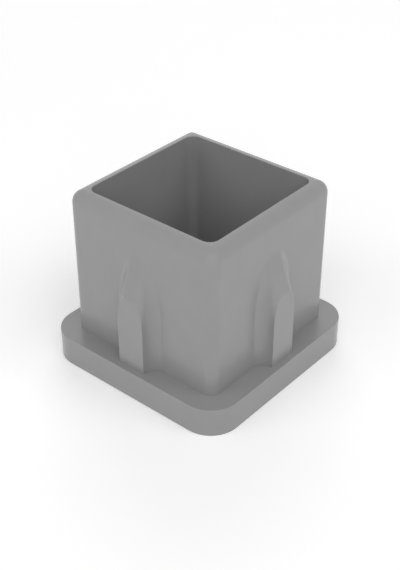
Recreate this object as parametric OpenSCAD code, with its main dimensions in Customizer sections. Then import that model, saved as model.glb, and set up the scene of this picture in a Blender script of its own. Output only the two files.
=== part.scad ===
// End cap for a square tube, moulded in one piece.
// A flat flange covers the end of the tube. A hollow spigot goes inside the tube,
// and one rib on each of its sides is squeezed by the tube and holds the cap in place.
// Millimetres, +Z up. The origin is the middle of the flange's outer face.

/* [Tube] */
// Outside width of the square tube, which is also the width of the flange
tube_w = 25; // [20:0.5:40]
// Thickness of the tube's wall
tube_wall = 1; // [0.8:0.1:2]

/* [Flange] */
// Thickness of the flange
flange_t = 3.5; // [2.5:0.1:6]
// Radius of the flange's upright corners
flange_r = 3.6; // [1:0.1:6]

/* [Spigot] */
// Height of the spigot above the flange
spigot_h = 17.8; // [16:0.1:30]
// Distance from each side of the spigot to the inside of the tube
spigot_gap = 1.375; // [0.8:0.025:1.8]
// Radius of the spigot's upright corners
spigot_r = 1.25; // [0.5:0.05:3]
// Thickness of the spigot's walls
wall_t = 1.55; // [1.2:0.05:2]
// Flat left on the rim between its outer fillet and the cavity
rim_flat = 0.1; // [0.05:0.05:1]
// Radius of the cavity's upright corners
cavity_r = 1.15; // [0.6:0.05:2]
// Thickness of the closed end below the cavity
floor_t = 2; // [1:0.1:3]

/* [Ribs] */
// How far the tube presses each rib in
rib_squeeze = 0.25; // [0.05:0.05:0.3]
// Width of a rib's flat face
rib_w = 3.6; // [3:0.1:5]
// Height of a rib's flat face above the flange
rib_face_h = 8.9; // [7.5:0.1:10.5]
// Height above the flange at which a rib's lead-in meets the wall
rib_h = 13.4; // [12:0.1:14.5]
// Radius along both edges of the lead-in
lead_r = 1.25; // [0.6:0.05:1.4]
// Angle at which the flare beside a rib's flat face rises from the wall
flare_a = 12; // [4:1:20]

/* [Hidden] */

// Widths that follow from the tube
tube_bore = tube_w - 2 * tube_wall;
spigot_w = tube_bore - 2 * spigot_gap;
cavity_w = spigot_w - 2 * wall_t;
// Radius of the fillet round the outside of the rim
rim_r = wall_t - rim_flat;

// A rib stands out from the wall across the gap, and the tube presses it back
rib_d = spigot_gap + rib_squeeze;
// How deep a rib is rooted in the wall and in the flange
rib_root = wall_t / 2;

// The lead-in leans back from the flat face to the wall at this angle to the wall
lead_a = atan(rib_d / (rib_h - rib_face_h));
// Half the width of the lead-in's flat, between its rounded edges
lead_flat = rib_w / 2 - lead_r;
// Height above the flange at which the rounded edges start to arch over the flat face
arch_z = rib_face_h - lead_r / sin(lead_a);
// Steps round the arch, and across the flare between a rib and the wall
arch_steps = 12;
flare_steps = 8;

// How far the cavity's cut runs past the rim
cut = 1;
// Turns that put a part on each side or corner
quarter_turns = [0:90:270];
plastic = [0.59, 0.59, 0.59];
$fn = 64;

// Square with round corners, centred on the origin
module round_square(width, radius) {
    inner = width - 2 * radius;
    square([width, inner], center = true);
    square([inner, width], center = true);
    for (x = [-1, 1], y = [-1, 1])
        translate([x * inner / 2, y * inner / 2]) circle(radius);
}

// The spigot seen from one side, standing on the flange, with the rim's fillets
module spigot_side() {
    translate([-spigot_w / 2, 0]) square([spigot_w, spigot_h - rim_r]);
    translate([rim_r - spigot_w / 2, 0]) square([spigot_w - 2 * rim_r, spigot_h]);
    for (x = [-1, 1])
        translate([x * (spigot_w / 2 - rim_r), spigot_h - rim_r]) circle(rim_r);
}

// The same side carried the whole way across the spigot
module spigot_bar() {
    rotate([90, 0, 0]) linear_extrude(spigot_w, center = true) spigot_side();
}

// One upright corner, turned about its own axis so that the rim's fillet runs round it
module spigot_corner() {
    inset = spigot_w / 2 - spigot_r;
    translate([inset, inset])
        rotate_extrude()
            intersection() {
                translate([-inset, 0]) spigot_side();
                square([spigot_r, spigot_h]);
            }
}

// The solid block of the spigot: two crossed bars, with a turned piece at each corner
module spigot_block() {
    between_corners = spigot_w - 2 * spigot_r;
    intersection() {
        spigot_bar();
        rotate([0, 0, 90]) spigot_bar();
        linear_extrude(spigot_h) {
            square([spigot_w, between_corners], center = true);
            square([between_corners, spigot_w], center = true);
        }
    }
    for (turn = quarter_turns)
        rotate([0, 0, turn]) spigot_corner();
}

// A rib is worked out as points [across the wall, out from the wall, above the flange].
// The flare is the surface that a ball leaves when it rolls round the rib with its centre
// level with the flat face. At phi = 0 the ball touches the rib's upright side, and at
// phi = 90 the flat of the lead-in. It is a little larger than the rib is deep, so that
// the flare rises from the wall at an angle, which fades towards the top of the lead-in.
function edge_normal(phi) =
    [cos(phi), sin(phi) * cos(lead_a), sin(phi) * sin(lead_a)];

// Point at the given radius round the rounded edge of the lead-in, level with the flat face
function arch_point(radius, phi) =
    [lead_flat + radius * cos(phi), rib_d, arch_z + radius * sin(phi) / sin(lead_a)];

// Point on the flare, from the wall at t = 0 to the rounded edge at t = 1
function flare_point(phi, t) =
    let (
        from_wall = [0, 1, 0],
        turn = acos(edge_normal(phi) * from_wall),
        rise = flare_a * turn / 90,
        ball_r = rib_d / cos(rise),
        a = rise + t * (turn - rise),
        toward = (sin(turn - a) * from_wall + sin(a) * edge_normal(phi)) / sin(turn)
    )
    arch_point(lead_r + ball_r, phi) - ball_r * toward;

// Half a row of points, from the root in the wall, out along the flare, to the flat face.
// The flare's first step is carried on by its own length, so that it dips into the wall.
function half_row(phi) =
    let (
        flare = [for (i = [0:flare_steps]) flare_point(phi, i / flare_steps)],
        dip = 2 * flare[0] - flare[1]
    )
    concat(
        [[dip.x, -rib_root, dip.z], dip],
        [for (i = [1:flare_steps]) flare[i]],
        [arch_point(lead_r, phi)]
    );

// A whole row, with the second half mirrored across the rib's middle
function whole_row(half) =
    let (last = len(half) - 1)
    concat(half, [for (i = [last:-1:0]) [-half[i].x, half[i].y, half[i].z]]);

// The same row of points moved down to the height z
function row_at(row, z) = [for (p = row) [p.x, p.y, z]];

// One rib, standing on the flange against the wall whose outside is the plane y = 0
module rib() {
    arch_rows = [for (i = [0:arch_steps]) whole_row(half_row(90 * i / arch_steps))];
    rows = concat([row_at(arch_rows[0], -rib_root)], arch_rows);
    row_len = len(rows[0]);
    top = len(rows) - 1;
    skin = [
        for (r = [0:top - 1], c = [0:row_len - 1])
            let (a = r * row_len + c, b = r * row_len + (c + 1) % row_len)
            each [[a, a + row_len, b + row_len], [a, b + row_len, b]]
    ];
    bottom = [[for (c = [0:row_len - 1]) c]];
    over_top = [
        for (c = [0:row_len / 2 - 2])
            let (a = top * row_len + c, b = top * row_len + row_len - 1 - c)
            each [[a, b, b - 1], [a, b - 1, a + 1]]
    ];
    mirror([0, 1, 0])
        polyhedron([for (row = rows) each row], concat(skin, bottom, over_top));
}

module end_cap() {
    color(plastic)
        difference() {
            union() {
                linear_extrude(flange_t) round_square(tube_w, flange_r);
                translate([0, 0, flange_t]) {
                    spigot_block();
                    for (turn = quarter_turns)
                        rotate([0, 0, turn])
                            translate([0, -spigot_w / 2]) rib();
                }
            }
            translate([0, 0, floor_t])
                linear_extrude(flange_t + spigot_h + cut - floor_t) round_square(cavity_w, cavity_r);
        }
}

end_cap();
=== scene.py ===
"""Looks of a push-in end cap for a square tube, moulded in one piece of grey plastic.

The cap repeats eight times round its axis. Its skin is worked out once, as patches over half a
side and half a corner, and each patch is then mirrored and turned into its eight places.
Lengths are in metres, +Z is up, and the origin is the middle of the flange's outer face.
"""
import logging
import math
from dataclasses import dataclass, field
from enum import Enum

import bpy
import numpy as np
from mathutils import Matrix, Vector
from numpy.typing import NDArray


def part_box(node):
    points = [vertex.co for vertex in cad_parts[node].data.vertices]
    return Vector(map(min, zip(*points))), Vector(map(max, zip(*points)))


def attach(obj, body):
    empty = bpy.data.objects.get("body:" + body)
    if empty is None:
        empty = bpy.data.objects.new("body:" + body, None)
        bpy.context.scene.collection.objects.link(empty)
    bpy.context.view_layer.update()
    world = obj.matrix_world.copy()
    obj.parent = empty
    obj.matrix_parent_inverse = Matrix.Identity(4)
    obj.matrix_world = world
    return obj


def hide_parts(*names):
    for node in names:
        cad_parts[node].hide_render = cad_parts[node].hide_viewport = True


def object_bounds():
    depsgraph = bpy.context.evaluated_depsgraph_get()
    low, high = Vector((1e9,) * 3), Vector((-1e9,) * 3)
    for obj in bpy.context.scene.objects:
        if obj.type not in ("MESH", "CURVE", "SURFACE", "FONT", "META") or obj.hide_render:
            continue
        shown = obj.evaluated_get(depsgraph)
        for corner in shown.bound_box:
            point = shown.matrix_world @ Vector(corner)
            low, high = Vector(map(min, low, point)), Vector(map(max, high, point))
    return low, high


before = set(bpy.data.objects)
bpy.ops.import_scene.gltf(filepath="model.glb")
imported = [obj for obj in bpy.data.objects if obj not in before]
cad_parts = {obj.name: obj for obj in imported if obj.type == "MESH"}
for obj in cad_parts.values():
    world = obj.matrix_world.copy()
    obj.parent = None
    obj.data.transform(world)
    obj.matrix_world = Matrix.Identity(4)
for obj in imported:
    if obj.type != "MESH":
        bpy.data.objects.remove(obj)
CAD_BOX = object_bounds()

Array = NDArray[np.float64]

LOG = logging.getLogger("end_cap")
NODE = "end_cap"
SLOT = "moulded_plastic"
BODY = "root"

MM = 0.001
QUARTER_TURN = math.pi / 2
EIGHTH_TURN = math.pi / 4
WHITE = (1.0, 1.0, 1.0, 1.0)
# The full strength of a bump, and of a glow that renders as white
FULL = 1.0
# Points closer than this are welded. The shift keeps round sizes off the edges of the cells.
WELD_CELL = 0.0002 * MM
WELD_SHIFT = 0.2357


class Quarter(Enum):
    """The four sides of the cap, each as the cosine and sine of its turn from the front."""

    FRONT = (1, 0)
    RIGHT = (0, 1)
    BACK = (-1, 0)
    LEFT = (0, -1)


class Hand(Enum):
    """The two halves of a side: as worked out, and mirrored in the side's middle."""

    PLAIN = 1
    MIRRORED = -1


@dataclass(frozen=True)
class Patch:
    """A grid of points on the skin.

    Attributes:
        points: Places of the points, rows by columns by 3.
        normals: Outward normals at the points, rows by columns by 3.
    """

    points: Array
    normals: Array

    @classmethod
    def plane(cls, points: Array, normal: tuple[float, float, float]) -> "Patch":
        """Makes a flat patch.

        Args:
            points: Grid of points that lie in one plane.
            normal: The plane's outward normal.

        Returns:
            The patch, with the same normal at every point.
        """
        return cls(points, np.broadcast_to(np.array(normal), points.shape))

    def placed(self, quarter: Quarter, hand: Hand) -> "Patch":
        """Puts the patch in one of its eight places: across is times the hand, then all is turned.

        Args:
            quarter: The side to turn it to.
            hand: Whether it is mirrored first.

        Returns:
            The patch in its place.
        """
        cosine, sine = quarter.value
        across = hand.value
        turn = np.array([[cosine * across, -sine, 0], [sine * across, cosine, 0], [0, 0, 1]], float)
        return Patch(self.points @ turn.T, self.normals @ turn.T)

    def quads(self, start: int) -> NDArray[np.int64]:
        """Numbers the four corners of each cell of the grid.

        Args:
            start: The number of the patch's first point.

        Returns:
            Point numbers, cells by 4.
        """
        rows, columns = self.points.shape[:2]
        index = start + np.arange(rows * columns).reshape(rows, columns)
        cell = [index[:-1, :-1], index[1:, :-1], index[1:, 1:], index[:-1, 1:]]
        return np.stack(cell, axis=-1).reshape(-1, 4)


class Skin:
    """Patches that are welded into one closed mesh, which keeps their normals."""

    def __init__(self) -> None:
        """Starts with no patch."""
        self.patches: list[Patch] = []

    def add(self, patch: Patch) -> None:
        """Adds a patch in its eight places."""
        self.patches += [patch.placed(quarter, hand) for quarter in Quarter for hand in Hand]

    def mesh(self, name: str) -> bpy.types.Mesh:
        """Welds the patches into a mesh.

        Points that fall in the same small cell become one vertex. A cell of a grid with two corners
        in one vertex becomes a triangle, and one with less is dropped. A face is turned over where
        the cross product of its diagonals points against the patch's normals.

        Args:
            name: The mesh's name.

        Returns:
            The mesh, with the patches' normals at its corners.
        """
        points = np.concatenate([patch.points.reshape(-1, 3) for patch in self.patches])
        normals = np.concatenate([patch.normals.reshape(-1, 3) for patch in self.patches])
        sizes = [patch.points[..., 0].size for patch in self.patches]
        starts = np.cumsum([0, *sizes[:-1]])
        quads = np.concatenate([patch.quads(start) for patch, start in zip(self.patches, starts)])

        corner = points[quads]
        facing = np.cross(corner[:, 2] - corner[:, 0], corner[:, 3] - corner[:, 1])
        inward = (facing * normals[quads].sum(axis=1)).sum(axis=1) < 0
        quads[inward] = quads[inward, ::-1]

        cells = np.round(points / WELD_CELL + WELD_SHIFT).astype(np.int64)
        _, first, vertex = np.unique(cells, axis=0, return_index=True, return_inverse=True)
        vertex = vertex.reshape(-1)
        same = vertex[quads] == vertex[np.roll(quads, -1, axis=1)]
        whole = quads[same.sum(axis=1) == 0]
        closed = same.sum(axis=1) == 1
        thin = quads[closed][~same[closed]].reshape(-1, 3)

        mesh = bpy.data.meshes.new(name)
        mesh.from_pydata(points[first].tolist(), [], vertex[whole].tolist() + vertex[thin].tolist())
        mesh.shade_smooth()
        corners = np.concatenate([whole.ravel(), thin.ravel()])
        mesh.normals_split_custom_set(normals[corners].tolist())
        return mesh


@dataclass(frozen=True)
class Profile:
    """A section of the skin, which is swept round a square with round corners.

    Attributes:
        half: Half the square's width at each point of the section.
        radius: Radius of the square's corners there.
        z: Height there.
        out: Part of the normal that points away from the axis.
        up: Part of the normal that points up.
    """

    half: Array
    radius: Array
    z: Array
    out: Array
    up: Array


@dataclass(frozen=True)
class Outline:
    """The places along half a side and half a corner that a family of rings shares.

    Attributes:
        side: Places along the half side, from 0 at its middle to 1 where the corner starts.
        corner: Angles round the half corner, each more than 0 and the last an eighth of a turn.
    """

    side: Array
    corner: Array

    def ring(self, half: Array, radius: Array) -> Array:
        """Works out rings of rounded squares.

        On the side a point lies at its share of the straight run, which is half the width less the
        radius. On the corner it lies at the radius from the end of that run, turned by its angle.

        Args:
            half: Half the width of each ring.
            radius: Corner radius of each ring.

        Returns:
            Points in the plane, rings by places by 2.
        """
        half = half[:, None]
        radius = radius[:, None]
        run = half - radius
        x = np.hstack([run * self.side, run + radius * np.sin(self.corner)])
        y = np.hstack([-half + 0 * self.side, -run - radius * np.cos(self.corner)])
        return np.stack([x, y], axis=-1)

    def band(self, profile: Profile) -> Patch:
        """Sweeps a section round the rings.

        Args:
            profile: The section.

        Returns:
            The patch. Its normal is the ring's own normal times the section's part out, with the
            section's part up.
        """
        flat = self.ring(profile.half, profile.radius)
        height = np.broadcast_to(profile.z[:, None], flat.shape[:2])
        x = np.concatenate([0 * self.side, np.sin(self.corner)])
        y = np.concatenate([-1 + 0 * self.side, -np.cos(self.corner)])
        normals = [profile.out[:, None] * x, profile.out[:, None] * y, profile.up[:, None] + 0 * x]
        return Patch(np.dstack([flat, height]), np.stack(normals, axis=-1))


def ruled(start: Array, end: Array, steps: int) -> Array:
    """Joins two rows of points by straight lines, cut into equal steps.

    Args:
        start: The first row of points.
        end: The last row, with as many points.
        steps: Steps between the two.

    Returns:
        Points, steps + 1 by the row's points by 3.
    """
    share = np.linspace(0, 1, steps + 1)[:, None, None]
    return (1 - share) * start + share * end


@dataclass(frozen=True)
class Rib:
    """Half of a rib, as points across the side, out from the wall and up from the flange.

    A row of points runs from the wall over the flare to the flat face, and the rows follow each
    other up the stem, round the arch and along the top to the rib's middle.

    Attributes:
        depth: How far the flat face stands out from the wall.
        face_w: Width of the flat face.
        face_h: Height of the flat face.
        height: Height at which the lead-in's slope meets the wall.
        lead_r: Radius along both edges of the lead-in.
        flare_a: Degrees at which the flare rises from the wall on the stem.
        edge: How far the moulded edge of the flat face is rounded to each side.
        stem_steps: Steps up the stem.
        arch_steps: Steps round the arch.
        top_steps: Steps along the top, and across the flat face.
        flare_steps: Steps across the flare.
        slope_steps: Steps down the lead-in.
        edge_steps: Steps round the edge of the flat face.
    """

    depth: float
    face_w: float = 3.6 * MM
    face_h: float = 8.9 * MM
    height: float = 13.4 * MM
    lead_r: float = 1.25 * MM
    flare_a: float = 12
    edge: float = 0.05 * MM
    stem_steps: int = 8
    arch_steps: int = 28
    top_steps: int = 4
    flare_steps: int = 16
    slope_steps: int = 6
    edge_steps: int = 4

    @property
    def lean(self) -> float:
        """Angle between the lead-in's slope and the wall."""
        return math.atan(self.depth / (self.height - self.face_h))

    @property
    def lead_flat(self) -> float:
        """Half the width of the lead-in's flat, between its rounded edges."""
        return self.face_w / 2 - self.lead_r

    @property
    def arch_z(self) -> float:
        """Height at which the arch over the flat face starts."""
        return self.face_h - self.lead_r / math.sin(self.lean)

    def angles(self) -> Array:
        """Works out the angle round the arch of each row.

        Returns:
            The angles: 0 on the stem, even steps round the arch and a quarter turn on the top.
        """
        stem = np.zeros(self.stem_steps + 1)
        arch = np.linspace(0, QUARTER_TURN, self.arch_steps + 1)[1:]
        return np.concatenate([stem, arch, np.full(self.top_steps, QUARTER_TURN)])

    def shifts(self) -> Array:
        """How far each row is carried: down the stem, or along the top towards the middle.

        Returns:
            Shifts across, out and up, rows by 3.
        """
        down = np.linspace(-self.arch_z, 0, self.stem_steps + 1)
        along = np.linspace(0, -self.lead_flat, self.top_steps + 1)[1:]
        shift = np.zeros((self.angles().size, 3))
        shift[: down.size, 2] = down
        shift[-along.size :, 0] = along
        return shift

    def edge_normals(self) -> Array:
        """Normals of the lead-in's rounded edge, square to its slope.

        Returns:
            Cosine of the angle across, and its sine times the lean's cosine out and sine up.
        """
        angle = self.angles()
        across = np.cos(angle)
        level = np.sin(angle)
        return np.stack([across, level * math.cos(self.lean), level * math.sin(self.lean)], axis=-1)

    def arch(self, radius: float | Array) -> Array:
        """Points round the arch, level with the flat face.

        A cylinder round the rounded edge's axis is cut by the plane of the flat face, which gives
        half an ellipse: the radius times the cosine across, and the radius times the sine over the
        sine of the lean up.

        Args:
            radius: Radius of the cylinder, the same for all rows or one for each.

        Returns:
            One point for each row.
        """
        angle = self.angles()
        across = self.lead_flat + radius * np.cos(angle)
        up = self.arch_z + radius * np.sin(angle) / math.sin(self.lean)
        return np.stack([across, np.full(angle.size, self.depth), up], axis=-1) + self.shifts()

    def surface(self) -> Patch:
        """The flare, the lead-in and the rounded edge of the flat face, as one patch.

        The flare is what a ball leaves when it rolls round the rib with its centre level with the
        flat face. Its radius is the rib's depth over the cosine of the angle at which the flare
        rises from the wall, which gets less as the normals of the wall and of the rounded edge come
        closer. A point is the centre less the radius times a direction, which turns evenly from
        that angle to the rounded edge's normal. A straight line down the slope follows, and a
        quadratic curve over the corner ends on the flat face.

        Returns:
            The patch, from the wall to the flat face by rows.
        """
        normal = self.edge_normals()
        from_wall = np.array([0.0, 1.0, 0.0])
        turn = np.arccos(normal[:, 1])
        rise = math.radians(self.flare_a) * turn / QUARTER_TURN
        ball = self.depth / np.cos(rise)
        slope_len = self.depth * np.sin(self.angles()) / math.tan(self.lean)
        cut_back = np.maximum(self.edge - slope_len, 0) / ball
        angle = np.linspace(rise, turn - cut_back, self.flare_steps + 1)[..., None]
        turn = turn[:, None]
        toward = (np.sin(turn - angle) * from_wall + np.sin(angle) * normal) / np.sin(turn)
        flare = self.arch(self.lead_r + ball) - ball[:, None] * toward

        crease = self.arch(self.lead_r)
        up_slope = np.array([0, -math.sin(self.lean), math.cos(self.lean)])
        short = np.where(slope_len > self.edge, self.edge, 0)[:, None]
        lip = np.where(short > 0, crease + short * up_slope, flare[-1])
        slope = ruled(flare[-1], lip, self.slope_steps)

        inner = self.face_outline()
        step = np.linspace(0, 1, self.edge_steps + 1)[:, None, None]
        edge = (1 - step) ** 2 * lip + 2 * step * (1 - step) * crease + step**2 * inner
        edge_normal = (1 - step) * toward[-1] + step * from_wall
        edge_normal /= np.linalg.norm(edge_normal, axis=-1, keepdims=True)

        slope_normal = np.broadcast_to(toward[-1], slope.shape)
        points = np.concatenate([flare, slope[1:], edge[1:]])
        return Patch(points, np.concatenate([toward, slope_normal[1:], edge_normal[1:]]))

    def face_outline(self) -> Array:
        """Outline of the flat part of the face: the arch moved in by the edge along its normal.

        Returns:
            One point for each row.
        """
        angle = self.angles()
        out = np.stack([np.cos(angle), 0 * angle, np.sin(angle) * math.sin(self.lean)], axis=-1)
        out /= np.linalg.norm(out, axis=-1, keepdims=True)
        return self.arch(self.lead_r) - self.edge * out

    def face(self) -> Patch:
        """The flat face: level lines from the middle to the outline, up to the top of the arch.

        Returns:
            The patch.
        """
        outline = self.face_outline()[: -self.top_steps]
        middle = outline * np.array([0, 1, 1])
        return Patch.plane(ruled(middle, outline, self.top_steps), (0, 1, 0))


@dataclass(frozen=True)
class Spigot:
    """The hollow square spigot, with a rib on each side.

    Attributes:
        base: Height of the flange's inner face, on which it stands.
        top: Height of its rim.
        half: Half its width.
        rib: The rib on each side.
        corner_r: Radius of its upright corners.
        wall_t: Thickness of its walls.
        rim_flat: Width of the flat on the rim.
        least_r: Radius left at the corners where the rim's fillet has used up their own.
        mouth_edge: Radius of the moulded edge round the mouth.
        cavity_r: Radius of the cavity's upright corners.
        floor_z: Height of the cavity's floor.
        floor_r: Radius of the moulded corner round the floor.
        wall_steps: Steps from a rib to the end of the wall.
        corner_steps: Steps round half a corner.
        rim_steps: Steps round the rim's fillet.
        edge_steps: Steps round the mouth's edge, and round the floor.
        floor_steps: Steps across the floor.
        turn_row: The row round a rib's arch that runs out to the wall's upper corner.
    """

    base: float
    top: float
    half: float
    rib: Rib
    corner_r: float = 1.25 * MM
    wall_t: float = 1.55 * MM
    rim_flat: float = 0.1 * MM
    least_r: float = 0.05 * MM
    mouth_edge: float = 0.05 * MM
    cavity_r: float = 1.15 * MM
    floor_z: float = 2.0 * MM
    floor_r: float = 0.2 * MM
    wall_steps: int = 8
    corner_steps: int = 10
    rim_steps: int = 14
    edge_steps: int = 5
    floor_steps: int = 6
    turn_row: int = 15

    @property
    def rim_r(self) -> float:
        """Radius of the fillet round the outside of the rim."""
        return self.wall_t - self.rim_flat

    def stand(self, patch: Patch) -> Patch:
        """Puts a patch in place.

        Args:
            patch: The patch, given across a side, out from its wall and up from the flange.

        Returns:
            The patch in the cap's frame, on the front.
        """
        flip = np.array([1.0, -1.0, 1.0])
        place = np.array([0.0, -self.half, self.base])
        return Patch(patch.points * flip + place, patch.normals * flip)

    def corner_angles(self) -> Array:
        """Angles round half a corner, without the first."""
        return np.linspace(0, EIGHTH_TURN, self.corner_steps + 1)[1:]

    def frame_points(self) -> Array:
        """Where each row of the rib ends on the edge of the wall: up its end, then along its top.

        Returns:
            Points on the side, one for each row of the rib.
        """
        rib = self.rib
        end = self.half - self.corner_r
        height = self.top - self.rim_r - self.base
        stem = np.linspace(0, rib.arch_z, rib.stem_steps + 1)
        rise = np.linspace(rib.arch_z, height, self.turn_row + 1)[1:]
        inward = np.linspace(end, rib.lead_flat, rib.arch_steps - self.turn_row + 1)[1:]
        middle = np.linspace(rib.lead_flat, 0, rib.top_steps + 1)[1:]
        across = np.concatenate([np.full(stem.size + rise.size, end), inward, middle])
        up = np.concatenate([stem, rise, np.full(inward.size + middle.size, height)])
        return np.stack([across, 0 * up, up], axis=-1)

    def wall(self) -> Patch:
        """The flat wall round the rib: straight lines from the flare's foot to the wall's edge."""
        foot = self.rib.surface().points[0]
        return self.stand(Patch.plane(ruled(foot, self.frame_points(), self.wall_steps), (0, 1, 0)))

    def corner(self) -> Patch:
        """Half an upright corner: part of a cylinder, with a ring at each row of the wall's end.

        Returns:
            The patch.
        """
        rows = self.rib.stem_steps + self.turn_row + 1
        height = self.base + self.frame_points()[:rows, 2]
        level = np.ones(rows)
        outline = Outline(np.ones(1), self.corner_angles())
        return outline.band(
            Profile(self.half * level, self.corner_r * level, height, level, 0 * level)
        )

    def mouth_outline(self) -> Outline:
        """The places along the rings above the wall.

        Returns:
            The places of the rows that end on the wall's top, and the angles round the corner.
        """
        first = self.rib.stem_steps + self.turn_row
        across = self.frame_points()[first:, 0][::-1]
        return Outline(across / across[-1], self.corner_angles())

    def mouth(self) -> Patch:
        """The skin from the wall's top over the rim and down the cavity to its floor.

        The section is a quarter circle over the rim, its flat, a small quarter circle round the
        mouth, the cavity's straight wall, and a quarter circle in to the floor.

        Returns:
            The patch.
        """
        over = np.linspace(0, QUARTER_TURN, self.rim_steps + 1)
        turn = np.linspace(0, QUARTER_TURN, self.edge_steps + 1)
        inset = self.rim_r * (1 - np.cos(over))
        cavity = self.half - self.wall_t
        widen = self.mouth_edge * (1 - np.sin(turn))
        narrow = self.floor_r * (1 - np.cos(turn))
        half = [self.half - inset, cavity + widen, cavity - narrow]
        radius = [
            np.maximum(self.corner_r - inset, self.least_r),
            self.cavity_r + widen,
            self.cavity_r - narrow,
        ]
        height = [
            self.top - self.rim_r * (1 - np.sin(over)),
            self.top - self.mouth_edge * (1 - np.cos(turn)),
            self.floor_z + self.floor_r * (1 - np.sin(turn)),
        ]
        out = [np.cos(over), -np.sin(turn), -np.cos(turn)]
        up = [np.sin(over), np.cos(turn), np.sin(turn)]
        parts = [np.concatenate(part) for part in (half, radius, height, out, up)]
        return self.mouth_outline().band(Profile(*parts))

    def floor(self) -> Patch:
        """The cavity's floor: the last ring of the mouth's skin, drawn in to the axis."""
        ring = self.mouth().points[-1]
        return Patch.plane(ruled(ring, ring * np.array([0, 0, 1]), self.floor_steps), (0, 0, 1))

    def foot(self) -> Array:
        """Outline of the spigot and its rib where they stand on the flange.

        Returns:
            Points from the side's middle round half the corner.
        """
        face = self.stand(self.rib.face()).points[:, 0]
        rib = self.stand(self.rib.surface()).points[::-1, 0]
        line = np.concatenate([face, rib, self.wall().points[:, 0]])
        ahead = np.concatenate([[True], np.diff(line[:, 0]) > WELD_CELL])
        return np.concatenate([line[ahead], self.corner().points[0, 1:]])

    def patches(self) -> list[Patch]:
        """All of the spigot's patches."""
        rib = [self.stand(self.rib.surface()), self.stand(self.rib.face())]
        return [*rib, self.wall(), self.corner(), self.mouth(), self.floor()]


@dataclass(frozen=True)
class Flange:
    """The flat square flange that covers the tube's end.

    Attributes:
        half: Half its width.
        foot: Outline of what stands on it, from a side's middle round half a corner.
        corner_steps: How many points of that outline lie on the corner, past its first.
        thickness: Its thickness.
        corner_r: Radius of its upright corners.
        edge: Radius of its moulded edges.
        edge_steps: Steps round an edge.
        face_steps: Steps across each face.
    """

    half: float
    foot: Array
    corner_steps: int
    thickness: float = 3.5 * MM
    corner_r: float = 3.6 * MM
    edge: float = 0.04 * MM
    edge_steps: int = 5
    face_steps: int = 5

    def outline(self) -> Outline:
        """The places along the flange's rings.

        Returns:
            The places straight out from the points of the foot, and the angles round the corner.
        """
        side = self.foot[: -self.corner_steps, 0]
        angles = np.linspace(0, EIGHTH_TURN, self.corner_steps + 1)[1:]
        return Outline(side / side[-1], angles)

    def side(self) -> Patch:
        """The upright side with its moulded edges: a quarter circle, a line, a quarter circle.

        Returns:
            The patch, from the outer face to the inner face by rows.
        """
        turn = np.linspace(0, QUARTER_TURN, self.edge_steps + 1)
        inset = self.edge * np.concatenate([1 - np.sin(turn), 1 - np.cos(turn)])
        low = self.edge * (1 - np.cos(turn))
        high = self.thickness - self.edge * (1 - np.sin(turn))
        out = np.concatenate([np.sin(turn), np.cos(turn)])
        up = np.concatenate([-np.cos(turn), np.sin(turn)])
        height = np.concatenate([low, high])
        half = self.half - inset
        return self.outline().band(Profile(half, self.corner_r - inset, height, out, up))

    def inner_face(self) -> Patch:
        """The face round the spigot: straight lines from its foot to the flange's upper edge."""
        return Patch.plane(ruled(self.foot, self.side().points[-1], self.face_steps), (0, 0, 1))

    def outer_face(self) -> Patch:
        """The face that closes the tube's end: the flange's lower edge, drawn in to the axis."""
        ring = self.side().points[0]
        return Patch.plane(ruled(ring, 0 * ring, self.face_steps), (0, 0, -1))

    def patches(self) -> list[Patch]:
        """All of the flange's patches."""
        return [self.side(), self.inner_face(), self.outer_face()]


class Bench:
    """Adds and links the nodes of one shader."""

    def __init__(self, tree: bpy.types.NodeTree) -> None:
        """Empties the tree.

        Args:
            tree: The node tree to fill.
        """
        self.tree = tree
        self.tree.nodes.clear()

    def add(self, kind: str, inputs: dict[str | int, object], **settings: object) -> bpy.types.Node:
        """Adds a node.

        Args:
            kind: The node's type.
            inputs: A value or another node's output for each input that is set.
            settings: The node's own properties.

        Returns:
            The node.
        """
        node = self.tree.nodes.new(kind)
        for name, value in settings.items():
            setattr(node, name, value)
        for name, value in inputs.items():
            if isinstance(value, bpy.types.NodeSocket):
                self.tree.links.new(value, node.inputs[name])
            else:
                node.inputs[name].default_value = value
        return node


@dataclass(frozen=True)
class Grain:
    """An uneven height pattern on the plastic.

    Attributes:
        size: How long one cell of the pattern is, across and up.
        height: How far the pattern stands out.
        detail: How many finer layers it has.
    """

    size: tuple[float, float]
    height: float
    detail: float


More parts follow.
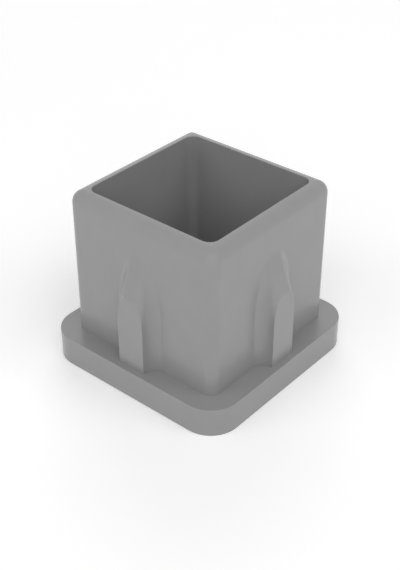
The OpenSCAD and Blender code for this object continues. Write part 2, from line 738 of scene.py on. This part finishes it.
@dataclass(frozen=True)
class MouldedPlastic:
    """Grey plastic as it comes out of a fine eroded mould.

    Attributes:
        light: Colour of the lighter clouds.
        dark: Colour of the darker clouds.
        clouded: The clouds, which only change the colour and the roughness.
        fade: Levels of the clouds' noise at which the dark ends and the light starts.
        roughness: Least and greatest roughness.
        ior: Refractive index.
        eroded: The fine grain of the mould.
        drawn: The faint lines along which the cap leaves the mould.
        sunk: The slight waviness of cooled plastic.
    """

    light: float = 0.314
    dark: float = 0.304
    clouded: Grain = Grain((2.4 * MM, 2.4 * MM), 0.0, 3.0)
    fade: tuple[float, float] = (0.3, 0.7)
    roughness: tuple[float, float] = (0.23, 0.27)
    ior: float = 1.5
    eroded: Grain = Grain((0.12 * MM, 0.12 * MM), 0.0012 * MM, 3.0)
    drawn: Grain = Grain((0.16 * MM, 6.0 * MM), 0.0005 * MM, 2.0)
    sunk: Grain = Grain((4.0 * MM, 4.0 * MM), 0.004 * MM, 1.0)

    def noise(
        self, bench: Bench, place: bpy.types.NodeSocket, grain: Grain
    ) -> bpy.types.NodeSocket:
        """Adds a noise whose cells have the grain's size.

        Args:
            bench: The material's nodes.
            place: Coordinates on the piece, in metres.
            grain: The pattern.

        Returns:
            The noise, from 0 to 1.
        """
        across, up = (1 / length for length in grain.size)
        scaled = bench.add("ShaderNodeMapping", {"Vector": place, "Scale": (across, across, up)})
        inputs = {"Vector": scaled.outputs[0], "Scale": 1.0, "Detail": grain.detail}
        return bench.add("ShaderNodeTexNoise", inputs).outputs[0]

    def material(self, name: str) -> bpy.types.Material:
        """Makes the material.

        Args:
            name: Its name.

        Returns:
            The material. Its colour, roughness and bump are worked out from the place on the piece.
        """
        material = bpy.data.materials.new(name)
        material.use_nodes = True
        bench = Bench(material.node_tree)
        place = bench.add("ShaderNodeTexCoord", {}).outputs["Object"]

        clouds = self.noise(bench, place, self.clouded)
        tint = bench.add("ShaderNodeValToRGB", {"Fac": clouds})
        greys = (self.dark, self.light)
        for stop, level, grey in zip(tint.color_ramp.elements, self.fade, greys):
            stop.position = level
            stop.color = (grey, grey, grey, 1.0)
        least, greatest = self.roughness
        inputs = {"Value": clouds, "To Min": least, "To Max": greatest}
        rough = bench.add("ShaderNodeMapRange", inputs)

        bump = None
        for grain in (self.sunk, self.drawn, self.eroded):
            height = self.noise(bench, place, grain)
            inputs = {"Height": height, "Distance": grain.height, "Strength": FULL}
            if bump is not None:
                inputs["Normal"] = bump.outputs[0]
            bump = bench.add("ShaderNodeBump", inputs)

        inputs = {
            "Base Color": tint.outputs[0],
            "Roughness": rough.outputs[0],
            "Normal": bump.outputs[0],
            "IOR": self.ior,
        }
        shader = bench.add("ShaderNodeBsdfPrincipled", inputs)
        bench.add("ShaderNodeOutputMaterial", {"Surface": shader.outputs[0]})
        return material


@dataclass(frozen=True)
class EndCap:
    """The whole cap, one moulding.

    Attributes:
        tube_wall: Thickness of the wall of the tube that the cap fits.
        gap: Distance from the spigot's walls to the inside of the tube.
        squeeze: How far the tube presses each rib in.
        finish: What the cap is made of.
    """

    tube_wall: float = 1.0 * MM
    gap: float = 1.375 * MM
    squeeze: float = 0.25 * MM
    finish: MouldedPlastic = field(default_factory=MouldedPlastic)

    def build(self) -> bpy.types.Object:
        """Makes the cap in the place of its solid.

        Returns:
            The cap, dressed and tied to the frame.
        """
        low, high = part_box(NODE)
        half = (high.x - low.x) / 2
        spigot_half = half - self.tube_wall - self.gap
        rib = Rib(depth=self.gap + self.squeeze)
        spigot = Spigot(base=Flange.thickness, top=high.z, half=spigot_half, rib=rib)
        flange = Flange(half=half, foot=spigot.foot(), corner_steps=spigot.corner_steps)
        skin = Skin()
        for patch in flange.patches() + spigot.patches():
            skin.add(patch)
        piece = bpy.data.objects.new("moulded_end_cap", skin.mesh("moulded_end_cap"))
        bpy.context.scene.collection.objects.link(piece)
        piece.data.materials.append(self.finish.material(SLOT))
        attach(piece, BODY)
        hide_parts(NODE)
        mesh = piece.data
        LOG.info("%s: %d faces, %d vertices", piece.name, len(mesh.polygons), len(mesh.vertices))
        return piece


@dataclass(frozen=True)
class SoftBox:
    """A large soft lamp that faces the cap.

    It doesn't show in the cap's gloss, which mirrors only the white sky and the floor.

    Attributes:
        azimuth: Degrees round the cap: 0 in front, 90 on the right.
        elevation: Degrees above the floor.
        radiance: How bright its face is, where 1 is white.
        distance: How far it stands from the cap.
        size: Width of its square face.
    """

    azimuth: float
    elevation: float
    radiance: float
    distance: float = 0.5
    size: float = 0.4

    def build(self, name: str, target: Vector) -> bpy.types.Object:
        """Hangs the lamp.

        Its power is its radiance times its area times pi.

        Args:
            name: Its name.
            target: The point that it faces.

        Returns:
            The lamp.
        """
        data = bpy.data.lights.new(name, "AREA")
        data.shape = "SQUARE"
        data.size = self.size
        data.energy = self.radiance * self.size**2 * math.pi
        lamp = bpy.data.objects.new(name, data)
        lamp.visible_camera = False
        lamp.visible_glossy = False
        back = direction(self.azimuth, self.elevation)
        lamp.location = target + back * self.distance
        lamp.rotation_mode = "QUATERNION"
        lamp.rotation_quaternion = (-back).to_track_quat("-Z", "Y")
        bpy.context.scene.collection.objects.link(lamp)
        LOG.info("%s: radiance %.2f", name, self.radiance)
        return lamp


def direction(azimuth: float, elevation: float) -> Vector:
    """Points away from the cap.

    Args:
        azimuth: Degrees round it: 0 in front, on the side of -Y, and 90 on the right.
        elevation: Degrees above the floor.

    Returns:
        The direction, of length 1.
    """
    turn = math.radians(azimuth)
    rise = math.radians(elevation)
    level = math.cos(rise)
    return Vector((math.sin(turn) * level, -math.cos(turn) * level, math.sin(rise)))


@dataclass(frozen=True)
class Viewpoint:
    """Where the picture is taken from.

    Attributes:
        azimuth: Degrees round the cap: 0 in front, 90 on the right.
        elevation: Degrees above the floor.
        distance: Distance to the target.
        target: The point in the middle of the picture.
        focal_pixels: Focal length in pixels of the picture.
        picture_height: Height of the picture in pixels, its longer side.
        sensor: Size of the sensor's longer side, in millimetres.
        near: The nearest that the camera sees.
        far: The farthest that it sees.
    """

    azimuth: float = 40.266
    elevation: float = 34.133
    distance: float = 123.29 * MM
    target: tuple[float, float, float] = (-0.805 * MM, 0.798 * MM, 7.571 * MM)
    focal_pixels: float = 1071.76
    picture_height: float = 570
    sensor: float = 36
    near: float = 1 * MM
    far: float = 10.0

    def build(self) -> bpy.types.Object:
        """Sets up the camera and makes it the scene's own.

        Returns:
            The camera.
        """
        data = bpy.data.cameras.new("camera")
        data.sensor_width = self.sensor
        data.lens = self.focal_pixels / self.picture_height * self.sensor
        data.clip_start = self.near
        data.clip_end = self.far
        camera = bpy.data.objects.new("camera", data)
        back = direction(self.azimuth, self.elevation)
        camera.location = Vector(self.target) + back * self.distance
        camera.rotation_mode = "QUATERNION"
        camera.rotation_quaternion = (-back).to_track_quat("-Z", "Y")
        bpy.context.scene.collection.objects.link(camera)
        bpy.context.scene.camera = camera
        return camera


def soft_boxes() -> dict[str, SoftBox]:
    """The lamps: one above the camera, one on each side of it, and one behind the cap."""
    return {
        "camera_box": SoftBox(azimuth=40, elevation=40, radiance=1.53),
        "left_box": SoftBox(azimuth=-22, elevation=34, radiance=1.0),
        "right_box": SoftBox(azimuth=102, elevation=48, radiance=1.26),
        "back_box": SoftBox(azimuth=220, elevation=27, radiance=1.48),
    }


@dataclass(frozen=True)
class Studio:
    """A white floor under a white sky, with soft lamps.

    Attributes:
        floor_half: Half the floor's width.
        floor_grey: Share of the light that the floor throws back on the cap.
        floor_white: Colour to the eye of the floor round the cap, which makes up for light of less
            than 1 there, and which the cap's shadow falls on.
        near: How far from the cap that colour reaches.
        far: How far from the cap the floor is plain white to the eye, without light or shadow.
        sky: How much light the sky throws on the cap. To the eye it is 1, which is white.
        lamps: The soft lamps, by name.
    """

    floor_half: float = 1.0
    floor_grey: float = 1.0
    floor_white: float = 1.25
    near: float = 80 * MM
    far: float = 400 * MM
    sky: float = 0.3
    lamps: dict[str, SoftBox] = field(default_factory=soft_boxes)

    def seen(self, bench: Bench) -> bpy.types.NodeSocket:
        """Tells the rays that see a colour from those that light the cap.

        Args:
            bench: The shader's nodes.

        Returns:
            1 for a camera ray, a glossy ray or a ray sent through, and 0 for all others.
        """
        path = bench.add("ShaderNodeLightPath", {}).outputs
        bent = {0: path["Is Glossy Ray"], 1: path["Is Transmission Ray"]}
        mirrored = bench.add("ShaderNodeMath", bent, operation="MAXIMUM").outputs[0]
        either = {0: path["Is Camera Ray"], 1: mirrored}
        return bench.add("ShaderNodeMath", either, operation="MAXIMUM").outputs[0]

    def level(
        self, bench: Bench, lighting: float, to_the_eye: float | bpy.types.NodeSocket
    ) -> bpy.types.NodeSocket:
        """Gives one level to the rays that light the cap, and another to those that see a colour.

        Args:
            bench: The shader's nodes.
            lighting: The level for the rays that light the cap.
            to_the_eye: The level for the others.

        Returns:
            The level.
        """
        inputs = {"Value": self.seen(bench), "To Min": lighting, "To Max": to_the_eye}
        return bench.add("ShaderNodeMapRange", inputs).outputs[0]

    def build_floor(self) -> bpy.types.Object:
        """Lays the floor, which is white to the eye and keeps the cap's shadow.

        Near the cap it is paper, lit by the sky and the lamps. With the distance it turns into a
        plain white glow, but only to the rays that see a colour.

        Returns:
            The floor.
        """
        half = self.floor_half
        corners = np.array([(-1, -1, 0), (1, -1, 0), (1, 1, 0), (-1, 1, 0)]) * half
        mesh = bpy.data.meshes.new("floor")
        mesh.from_pydata(corners.tolist(), [], [(0, 1, 2, 3)])
        floor = bpy.data.objects.new("floor", mesh)
        bpy.context.scene.collection.objects.link(floor)
        material = bpy.data.materials.new("floor_paper")
        material.use_nodes = True
        bench = Bench(material.node_tree)
        place = bench.add("ShaderNodeTexCoord", {}).outputs["Object"]
        away = bench.add("ShaderNodeVectorMath", {0: place}, operation="LENGTH")
        reach = {"Value": away.outputs["Value"], "From Min": self.near, "From Max": self.far}
        far_off = bench.add("ShaderNodeMapRange", reach).outputs[0]
        colour = self.level(bench, self.floor_grey, self.floor_white)
        paper = bench.add("ShaderNodeBsdfDiffuse", {"Color": colour})
        glow = bench.add("ShaderNodeEmission", {"Color": WHITE, "Strength": FULL})
        mixed = {0: self.level(bench, 0.0, far_off), 1: paper.outputs[0], 2: glow.outputs[0]}
        shader = bench.add("ShaderNodeMixShader", mixed)
        bench.add("ShaderNodeOutputMaterial", {"Surface": shader.outputs[0]})
        mesh.materials.append(material)
        return floor

    def build_sky(self) -> bpy.types.World:
        """Makes the white sky.

        Returns:
            The world.
        """
        world = bpy.data.worlds.new("sky")
        world.use_nodes = True
        bench = Bench(world.node_tree)
        strength = self.level(bench, self.sky, FULL)
        glow = bench.add("ShaderNodeBackground", {"Color": WHITE, "Strength": strength})
        bench.add("ShaderNodeOutputWorld", {"Surface": glow.outputs[0]})
        bpy.context.scene.world = world
        return world

    def build(self, target: Vector) -> None:
        """Sets up the floor, the sky and the lamps.

        Args:
            target: The point that the lamps face.
        """
        self.build_floor()
        self.build_sky()
        for name, lamp in self.lamps.items():
            lamp.build(name, target)
        LOG.info("studio: %d lamps, sky %.2f", len(self.lamps), self.sky)


def main() -> None:
    """Builds the camera, the studio and the cap."""
    logging.basicConfig(level=logging.INFO, format="%(name)s: %(message)s")
    view = bpy.context.scene.view_settings
    view.view_transform = "Standard"
    low, high = CAD_BOX
    Viewpoint().build()
    Studio().build((low + high) / 2)
    EndCap().build()


if __name__ == "__main__":
    main()
